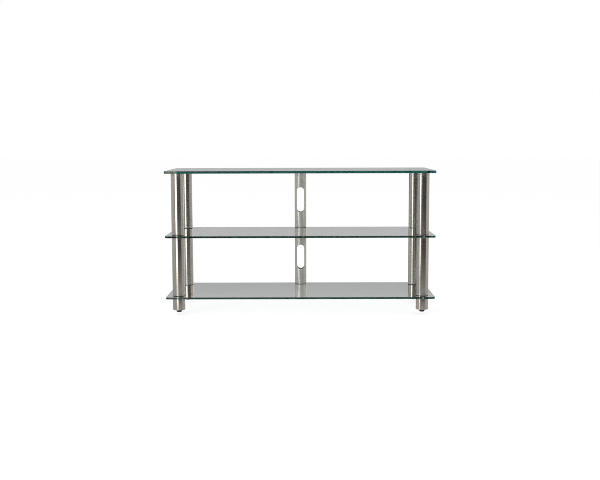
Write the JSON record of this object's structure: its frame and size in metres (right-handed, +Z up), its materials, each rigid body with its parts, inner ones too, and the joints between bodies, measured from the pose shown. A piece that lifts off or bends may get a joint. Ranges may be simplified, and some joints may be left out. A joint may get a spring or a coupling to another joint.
{
  "type": "audio equipment rack",
  "caption": "Low wide glass-shelved audio rack on round steel corner legs with levelling feet and a slotted cable post at the back.",
  "frame": {"origin": "on the floor under the middle of the shelves", "axes": "+X to the right seen from the front, +Y to the back, +Z up"},
  "size_m": [1.1, 0.4, 0.5823],
  "materials": {
    "clear_glass": "clear tempered glass with ground and polished green edges",
    "polished_steel": "polished stainless steel tube with a fine lengthwise grain",
    "satin_steel": "satin brushed steel tube",
    "zinc_steel": "zinc-plated steel",
    "black_plastic": "matt black moulded plastic"
  },
  "bodies": {
    "rack": {"bottom_shelf_glass": "clear_glass", "middle_shelf_glass": "clear_glass", "top_shelf_glass": "clear_glass", "front_left_leg_tube": "polished_steel", "front_left_lower_tube": "polished_steel", "front_left_upper_tube": "polished_steel", "front_left_top_disc": "polished_steel", "front_left_leg_plug": "zinc_steel", "front_left_tie_rod": "zinc_steel", "front_left_ring_under_bottom_shelf": "black_plastic", "front_left_ring_on_bottom_shelf": "black_plastic", "front_left_ring_under_middle_shelf": "black_plastic", "front_left_ring_on_middle_shelf": "black_plastic", "front_right_leg_tube": "polished_steel", "front_right_lower_tube": "polished_steel", "front_right_upper_tube": "polished_steel", "front_right_top_disc": "polished_steel", "front_right_leg_plug": "zinc_steel", "front_right_tie_rod": "zinc_steel", "front_right_ring_under_bottom_shelf": "black_plastic", "front_right_ring_on_bottom_shelf": "black_plastic", "front_right_ring_under_middle_shelf": "black_plastic", "front_right_ring_on_middle_shelf": "black_plastic", "rear_left_leg_tube": "polished_steel", "rear_left_lower_tube": "polished_steel", "rear_left_upper_tube": "polished_steel", "rear_left_top_disc": "polished_steel", "rear_left_leg_plug": "zinc_steel", "rear_left_tie_rod": "zinc_steel", "rear_left_ring_under_bottom_shelf": "black_plastic", "rear_left_ring_on_bottom_shelf": "black_plastic", "rear_left_ring_under_middle_shelf": "black_plastic", "rear_left_ring_on_middle_shelf": "black_plastic", "rear_right_leg_tube": "polished_steel", "rear_right_lower_tube": "polished_steel", "rear_right_upper_tube": "polished_steel", "rear_right_top_disc": "polished_steel", "rear_right_leg_plug": "zinc_steel", "rear_right_tie_rod": "zinc_steel", "rear_right_ring_under_bottom_shelf": "black_plastic", "rear_right_ring_on_bottom_shelf": "black_plastic", "rear_right_ring_under_middle_shelf": "black_plastic", "rear_right_ring_on_middle_shelf": "black_plastic", "cable_post_lower_tube": "satin_steel", "cable_post_upper_tube": "satin_steel", "cable_post_top_disc": "polished_steel", "cable_post_lower_tube_bottom_insert": "zinc_steel", "cable_post_lower_tube_top_insert": "zinc_steel", "cable_post_upper_tube_bottom_insert": "zinc_steel", "cable_post_middle_stud": "zinc_steel", "cable_post_bottom_screw": "zinc_steel", "cable_post_ring_on_bottom_shelf": "black_plastic", "cable_post_ring_under_middle_shelf": "black_plastic", "cable_post_ring_on_middle_shelf": "black_plastic", "cable_post_screw_washer": "black_plastic"},
    "front_left_foot": {"front_left_levelling_foot": "black_plastic"},
    "front_right_foot": {"front_right_levelling_foot": "black_plastic"},
    "rear_left_foot": {"rear_left_levelling_foot": "black_plastic"},
    "rear_right_foot": {"rear_right_levelling_foot": "black_plastic"}
  },
  "joints": [
    {"name": "front_left_foot_screw", "type": "slide", "parent": "rack", "child": "front_left_foot", "axis": [0, 0, -1], "range_m": [0, 0.012]},
    {"name": "front_right_foot_screw", "type": "slide", "parent": "rack", "child": "front_right_foot", "axis": [0, 0, -1], "range_m": [0, 0.012]},
    {"name": "rear_left_foot_screw", "type": "slide", "parent": "rack", "child": "rear_left_foot", "axis": [0, 0, -1], "range_m": [0, 0.012]},
    {"name": "rear_right_foot_screw", "type": "slide", "parent": "rack", "child": "rear_right_foot", "axis": [0, 0, -1], "range_m": [0, 0.012]}
  ]
}
